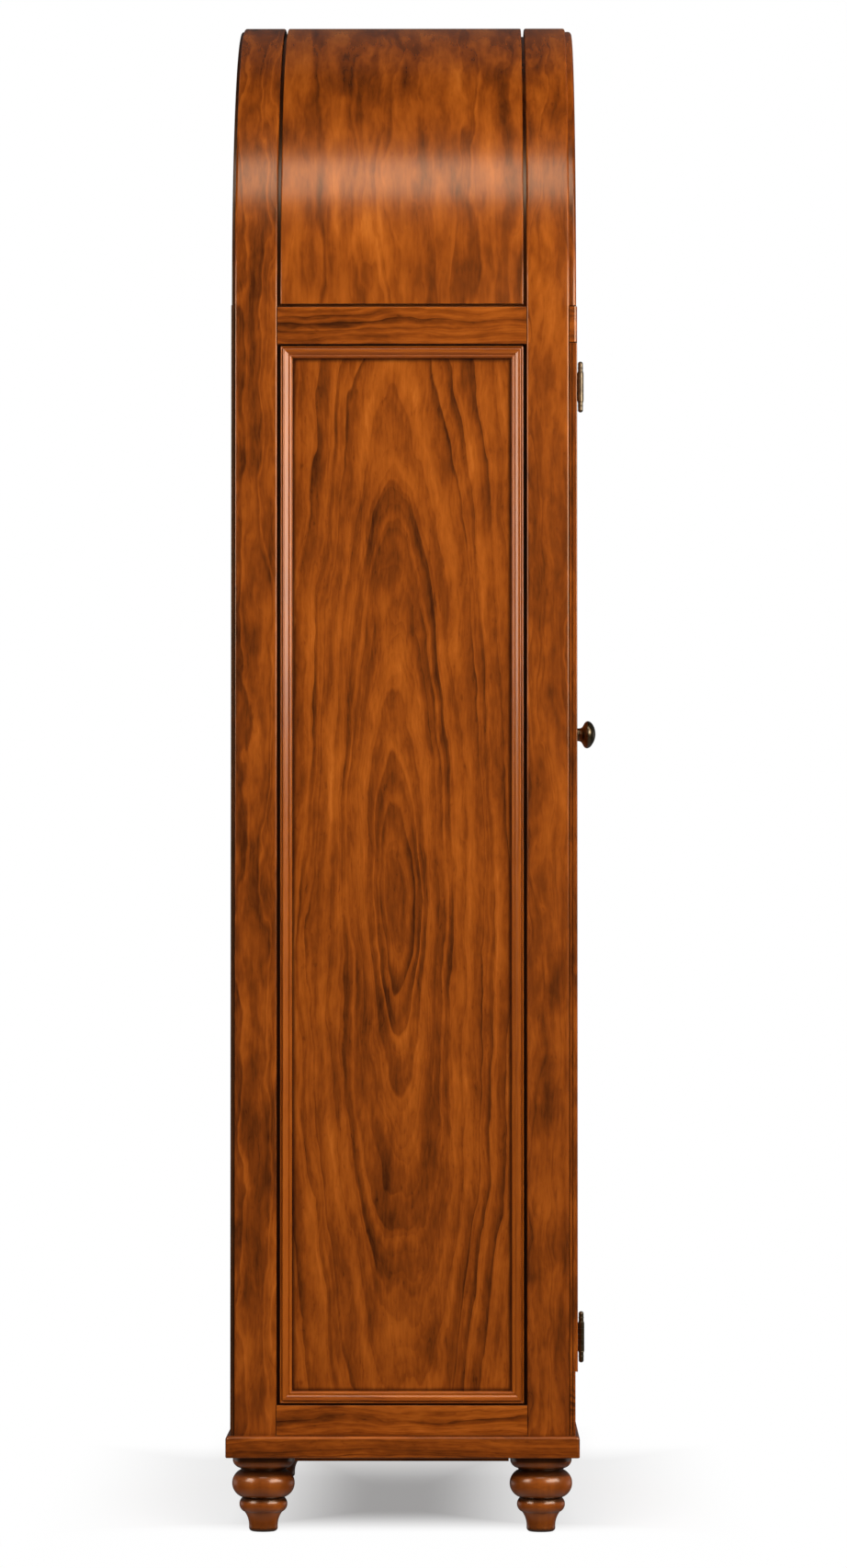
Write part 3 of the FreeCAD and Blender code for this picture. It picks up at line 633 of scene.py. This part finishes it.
# Side frames, the panel in each, and the arched top
for side, s in (("left", 0.0), ("right", 40.0)):
    low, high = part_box(f"{side}_side_moulding")
    inset = Vector((0, BAND, BAND))
    middle = ((low[1] + high[1]) / 2, (low[2] + high[2]) / 2)
    half = ((high[1] - low[1]) / 2, (high[2] - low[2]) / 2)
    dress(wood(f"{side}_panel_wood", lengthwise_z, 3.0 + s, darkening=panel_edge_shade(low + inset, high - inset, "y"),
               heart_across=0.020, heart_along=0.817, heart_depth=0.004, taper=0.14, flame=3.0,
               rings=105.0, wave=0.8, mottle=0.9, strips=0.4, lines=1.1), f"{side}_side_panel")
    dress(wood(f"{side}_moulding_wood", mitred(middle, half, "yz"), 9.0 + s, rings=200.0, wave=0.3,
               heart_across=-0.35, taper=0.01, flame=2.0, mottle=0.5, fine=0.35, lines=0.5, lift=0.10,
               coat=0.65, coat_rough=0.16, gloss_level=0.5, reach=0.003, shade=0.2),
          f"{side}_side_moulding_run")
    dress(wood(f"{side}_mid_rail_wood", lengthwise_y, 14.0 + s, heart_across=1.49, taper=0.02,
               heart_along=-0.1, rings=110.0, flame=4.5, wave=1.1, lines=1.2, strips=0.4, lift=-0.06),
          f"{side}_mid_rail")
    dress(wood(f"{side}_bottom_rail_wood", lengthwise_y, 19.0 + s, heart_across=0.12, taper=0.03,
               heart_along=0.1, rings=110.0, flame=4.5, wave=1.1, lines=1.2, strips=0.4, lift=0.04),
          f"{side}_bottom_rail")
dress(wood("back_stile_wood", over_arch, 23.0, heart_across=0.30, heart_depth=0.02, taper=0.0,
           flame=8.0, rings=85.0, mottle=1.3, lines=0.4, fine=0.8, strips=0.8, lift=-0.09,
           relief=0.0, coat_rough=0.18),
      "left_back_stile", "right_back_stile", "back_arch_rib_bent")
dress(wood("front_stile_wood", over_arch, 29.0, heart_across=-0.27, heart_depth=0.02, taper=0.0,
           flame=8.0, rings=85.0, mottle=1.25, lines=0.55, fine=0.8, strips=0.7, lift=-0.05,
           reach=0.005, joint_shade=0.5, relief=0.0, coat_rough=0.18),
      "left_front_stile", "right_front_stile", "front_arch_rib_bent")
dress(wood("barrel_wood", over_arch, 31.0, heart_across=0.35, heart_depth=0.01, taper=0.0,
           flame=7.0, rings=70.0, wave=1.0, mottle=1.15, lines=0.45, strips=1.1, fine=0.6, lift=-0.03,
           relief=0.0, coat_rough=0.18), "barrel_panel_bent")

# Face and back
dress(wood("face_stile_wood", over_arch_front, 37.0, heart_across=0.36, rings=160.0, flame=3.0,
           taper=0.02, reach=0.003, joint_shade=0.2, shade=0.2, lift=-0.04),
      "left_face_stile", "right_face_stile", "arch_moulding_swept")
dress(wood("frieze_wood", lengthwise_x, 41.0, heart_across=1.5, rings=150.0, flame=4.0, taper=0.02),
      "frieze_rail")
dress(wood("apron_wood", lengthwise_x, 43.0, heart_across=0.1, rings=150.0, flame=3.0, taper=0.02),
      "apron_rail")
dress(wood("tympanum_wood", lengthwise_z_front, 47.0, heart_along=1.45, rings=130.0, taper=0.12,
           flame=4.0), "tympanum_panel")
dress(wood("back_wood", lengthwise_z_front, 53.0, darkening=back_edge_darkening(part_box("upper_back_panel")[1][0]),
           heart_along=0.9, rings=90.0, taper=0.16, flame=4.0, lift=-0.2, rough=0.4),
      "lower_back_panel", "upper_back_panel")

# Doors
for side, sign, s in (("left", -1, 0.0), ("right", 1, 30.0)):
    low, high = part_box(f"{side}_door_moulding")
    inset = Vector((BAND, 0, BAND))
    middle = ((low[0] + high[0]) / 2, (low[2] + high[2]) / 2)
    half = ((high[0] - low[0]) / 2, (high[2] - low[2]) / 2)
    dress(wood(f"{side}_door_panel_wood", lengthwise_z_front, 61.0 + s,
               darkening=panel_edge_shade(low + inset, high - inset, "x"), heart_across=middle[0] + 0.01,
               heart_along=0.78, heart_depth=0.004, taper=0.08, flame=4.0, rings=150.0, wave=0.8),
          f"{side}_door_panel")
    dress(wood(f"{side}_door_moulding_wood", mitred(middle, half, "xz"), 63.0 + s, rings=200.0,
               wave=0.3, heart_across=-0.35, taper=0.01, flame=2.0, mottle=0.5, fine=0.35, lines=0.5,
               lift=0.10, coat=0.65, coat_rough=0.16, gloss_level=0.5, reach=0.003, shade=0.2),
          f"{side}_door_moulding_run")
    dress(wood(f"{side}_door_stile_wood", lengthwise_z_front, 67.0 + s, heart_across=sign * 0.43,
               taper=0.0, flame=10.0, rings=150.0),
          f"{side}_door_hinge_stile", f"{side}_door_meeting_stile")
    dress(wood(f"{side}_door_rail_wood", lengthwise_x, 71.0 + s, heart_across=1.0, taper=0.02,
               rings=150.0, flame=4.0, wave=0.7),
          f"{side}_door_top_rail", f"{side}_door_bottom_rail")

# Plinth and feet
dress(wood("plinth_side_wood", lengthwise_y, 81.0, heart_across=0.02, taper=0.02, rings=170.0,
           flame=3.0, wave=0.6, lift=-0.08), "plinth_left", "plinth_right")
dress(wood("plinth_front_wood", lengthwise_x, 83.0, heart_across=0.02, taper=0.02, rings=170.0,
           flame=3.0, wave=0.6, lift=-0.08), "plinth_front", "plinth_back")
for i, name in enumerate(("foot_front_left", "foot_front_right", "foot_back_left", "foot_back_right")):
    low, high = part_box(name)
    centre = (low + high) / 2
    dress(wood(f"{name}_wood", lengthwise_z, 87.0 + 3 * i, heart_across=centre[1] + 0.35, rings=60.0,
               heart_depth=0.02, taper=0.1, flame=0.4, wave=0.3, mottle=0.3, fine=0.15, lines=0.0,
               strips=0.0, darkening=neck_shade, rough=0.34, coat=0.7, coat_rough=0.17, reach=0.022, shade=0.75),
          name)

# Inside
dress(wood("shelf_wood", lengthwise_x_flat, 101.0, stain=BOARD_STAIN, rough=0.45, rings=110.0,
           flame=4.0, heart_across=0.05, heart_along=0.1, taper=0.1),
      "shelf_lower", "shelf_middle", "shelf_upper", "base_board", "ceiling_board")


def metal(name, dark, light, rough, worn, scale, coat):
    """Patinated metal: darker and lighter in random patches, the lighter ones smoother."""
    material = bpy.data.materials.new(name)
    material.use_nodes = True
    t = Tree(material.node_tree)
    shader = material.node_tree.nodes["Principled BSDF"]
    spot = t.add("ShaderNodeTexCoord").outputs["Object"]
    cloud = t.noise(spot, 4.0, 0.6, scale)
    fine = t.noise(spot, 3.0, 0.6, scale * 9)
    shade = t.plus(t.times(cloud, 0.7), t.times(fine, 0.3))
    t.put(shader.inputs["Base Color"], t.ramp(shade, [(0.35, dark), (0.65, light)]))
    t.put(shader.inputs["Roughness"], t.step(shade, 0.3, 0.7, rough + worn, rough))
    shader.inputs["Metallic"].default_value = 1.0
    shader.inputs["Coat Weight"].default_value = coat
    shader.inputs["Coat Roughness"].default_value = 0.2
    bump = t.add("ShaderNodeBump")
    bump.inputs["Strength"].default_value = 1.0
    bump.inputs["Distance"].default_value = 0.008 * MM
    t.put(bump.inputs["Height"], fine)
    t.put(shader.inputs["Normal"], bump.outputs[0])
    return material


bronze = metal("antique_bronze", linear(84, 68, 45), linear(118, 98, 68), 0.30, 0.06, 160.0, coat=0.5)
steel = metal("zinc_steel", linear(150, 150, 148), linear(196, 196, 192), 0.3, 0.1, 240.0, coat=0.0)
dress(bronze, "hinge_frame_leaves", "hinge_pins", "left_door_hinge_leaves", "right_door_hinge_leaves",
      "left_door_knob_turned", "right_door_knob_turned")
dress(steel, "case_screws", "foot_bolts", "shelf_pins", "left_door_strikes", "right_door_strikes")


def moulded(name, colour, rough):
    """Moulded plastic with a faint spark-eroded texture."""
    material = bpy.data.materials.new(name)
    material.use_nodes = True
    t = Tree(material.node_tree)
    shader = material.node_tree.nodes["Principled BSDF"]
    spot = t.add("ShaderNodeTexCoord").outputs["Object"]
    fine = t.noise(spot, 3.0, 0.6, 1800.0)
    dark = tuple(0.8 * c for c in colour[:3]) + (1.0,)
    t.put(shader.inputs["Base Color"], t.ramp(fine, [(0.3, dark), (0.7, colour)]))
    t.put(shader.inputs["Roughness"], t.step(fine, 0.3, 0.7, rough + 0.08, rough))
    bump = t.add("ShaderNodeBump")
    bump.inputs["Strength"].default_value = 1.0
    bump.inputs["Distance"].default_value = 0.03 * MM
    t.put(bump.inputs["Height"], fine)
    t.put(shader.inputs["Normal"], bump.outputs[0])
    return material


dress(moulded("catch_plastic", linear(92, 58, 34), 0.42), "magnetic_catches")


# Camera, fitted to the photograph without lens shift
camera_data = bpy.data.cameras.new("camera")
camera_data.sensor_fit = "VERTICAL"
camera_data.sensor_height = 36.0
camera_data.lens = PHOTO_FOCAL / PHOTO_HEIGHT * camera_data.sensor_height
camera_data.clip_start = 0.1
camera_data.clip_end = 60.0
camera = bpy.data.objects.new("camera", camera_data)
bpy.context.scene.collection.objects.link(camera)
camera.location = (-7.7920, -0.0631, 0.7543)
yaw = 0.0070
pitch = 0.0282
camera.rotation_euler = (math.pi / 2 + pitch, 0.0, yaw - math.pi / 2)
bpy.context.scene.camera = camera


def softbox(name, azimuth, elevation, distance, width, height, radiance, aim=(-0.2, 0.0, 1.0), gloss=True):
    """A soft lamp: azimuth from the camera's side towards the cabinet's front, in degrees."""
    a, e = math.radians(azimuth), math.radians(elevation)
    aim = Vector(aim)
    direction = Vector((-math.cos(a) * math.cos(e), -math.sin(a) * math.cos(e), math.sin(e)))
    data = bpy.data.lights.new(name, "AREA")
    data.shape = "RECTANGLE"
    data.size = width
    data.size_y = height
    data.energy = radiance * math.pi * width * height
    lamp = bpy.data.objects.new(name, data)
    bpy.context.scene.collection.objects.link(lamp)
    lamp.location = aim + direction * distance
    lamp.rotation_euler = direction.to_track_quat("Z", "Y").to_euler()
    lamp.visible_camera = False
    lamp.visible_glossy = gloss
    return lamp


object_lamps = [
    softbox("top_lamp", 0, 55.4, 8.0, 4.1, 2.3, 3.7, aim=(-0.38, 0.0, 1.75)),
    softbox("upper_lamp", 46, 42, 3.4, 0.6, 1.5, 7.0, aim=(-0.3, 0.0, 1.4)),
    softbox("right_lamp", 47, 15, 3.4, 3.0, 1.4, 7.0),
    softbox("left_lamp", -54, 15, 3.4, 1.6, 1.4, 6.4),
    softbox("front_lamp", 104, 20, 4.0, 1.6, 2.0, 3.0, gloss=False),
    softbox("back_lamp", -128, 20, 4.5, 1.8, 2.2, 2.6, gloss=False),
    softbox("far_lamp", 172, 12, 4.5, 2.2, 2.2, 1.7, aim=(0.4, 0.0, 1.0), gloss=False),
]
floor_lamp = softbox("floor_lamp", 0, 54, 5.0, 3.6, 3.2, 4.6, aim=(0.0, 0.0, 0.0))


def world():
    scene_world = bpy.data.worlds.new("studio")
    bpy.context.scene.world = scene_world
    scene_world.use_nodes = True
    t = Tree(scene_world.node_tree)
    background = scene_world.node_tree.nodes["Background"]
    path = t.add("ShaderNodeLightPath").outputs
    x, y, z = t.split(t.add("ShaderNodeTexCoord").outputs["Generated"])
    # Glossy surfaces see the white backdrop behind the cabinet, the pale floor, and a dark studio elsewhere
    level_with = t.step(t.math("ABSOLUTE", z), 0.08, 0.18, 1.0, 0.0)
    aside = t.times(level_with, t.step(t.math("ABSOLUTE", y), 0.55, 0.70))
    backdrop = t.times(t.step(x, 0.25, 0.45), t.plus(0.06, t.times(0.34, aside)))
    below = t.step(z, -0.75, -0.35, 0.2, 0.0)
    glow = t.math("MAXIMUM", 0.012, t.math("MAXIMUM", backdrop, below))
    fill = t.step(z, -0.2, 0.9, 0.30, 0.12)
    mirrored = t.math("MAXIMUM", path["Is Glossy Ray"], path["Is Transmission Ray"])
    level = t.pick(mirrored, fill, glow)
    level = t.pick(path["Is Camera Ray"], level, 1.0)
    t.put(background.inputs["Color"], WHITE)
    t.put(background.inputs["Strength"], level)


world()


def floor():
    mesh = bpy.data.meshes.new("floor")
    reach = 14.0
    corners = [(-reach, -reach, 0), (reach, -reach, 0), (reach, reach, 0), (-reach, reach, 0)]
    mesh.from_pydata(corners, [], [(0, 1, 2, 3)])
    plane = bpy.data.objects.new("floor", mesh)
    plane.visible_glossy = False
    bpy.context.scene.collection.objects.link(plane)
    material = bpy.data.materials.new("floor_white")
    material.use_nodes = True
    t = Tree(material.node_tree)
    tree = material.node_tree
    shader = tree.nodes["Principled BSDF"]
    x, y = t.split(t.add("ShaderNodeTexCoord").outputs["Object"])[:2]
    # The shadow under the cabinet fades out beside it, before it and a good way behind it
    side = t.math("ABSOLUTE", t.minus(y, CENTRE_Y + 0.012))
    beside = t.plus(t.step(side, 0.03, 0.20, 0.0, 0.58), t.step(side, 0.22, 0.49, 0.0, 0.42))
    before = t.step(t.times(x, -1.0), 0.10, 0.42, 0.0, 0.97)
    behind = t.step(x, 0.20, 1.30)
    behind = t.math("MAXIMUM", behind, t.times(t.step(side, 0.10, 0.30), t.step(x, 0.15, 0.95)))
    far = t.math("MAXIMUM", t.math("MAXIMUM", beside, before), behind)
    path = t.add("ShaderNodeLightPath").outputs
    seen = t.math("MAXIMUM", path["Is Camera Ray"], path["Is Transmission Ray"])
    t.put(shader.inputs["Base Color"], t.blend(seen, (0.3, 0.3, 0.3, 1.0), (0.9, 0.9, 0.9, 1.0)))
    shader.inputs["Roughness"].default_value = 0.9
    shader.inputs["Specular IOR Level"].default_value = 0.0
    shader.inputs["Emission Color"].default_value = WHITE
    t.put(shader.inputs["Emission Strength"], t.times(seen, 0.31))
    glow = t.add("ShaderNodeEmission")
    glow.inputs["Color"].default_value = WHITE
    glow.inputs["Strength"].default_value = 1.0
    mix = t.add("ShaderNodeMixShader")
    t.put(mix.inputs[0], t.times(far, seen))
    tree.links.new(shader.outputs[0], mix.inputs[1])
    tree.links.new(glow.outputs[0], mix.inputs[2])
    tree.links.new(mix.outputs[0], tree.nodes["Material Output"].inputs["Surface"])
    mesh.materials.append(material)
    return plane


def link_lamps(plane):
    """The floor has a lamp of its own, so the lamps on the cabinet cast no hard shadows beside it."""
    only = bpy.data.collections.new("floor_only")
    only.objects.link(plane)
    floor_lamp.light_linking.receiver_collection = only
    without = bpy.data.collections.new("floor_left_out")
    without.objects.link(plane)
    without.collection_objects[0].light_linking.link_state = "EXCLUDE"
    for lamp in object_lamps:
        lamp.light_linking.receiver_collection = without


link_lamps(floor())

bpy.context.scene.view_settings.view_transform = "Standard"
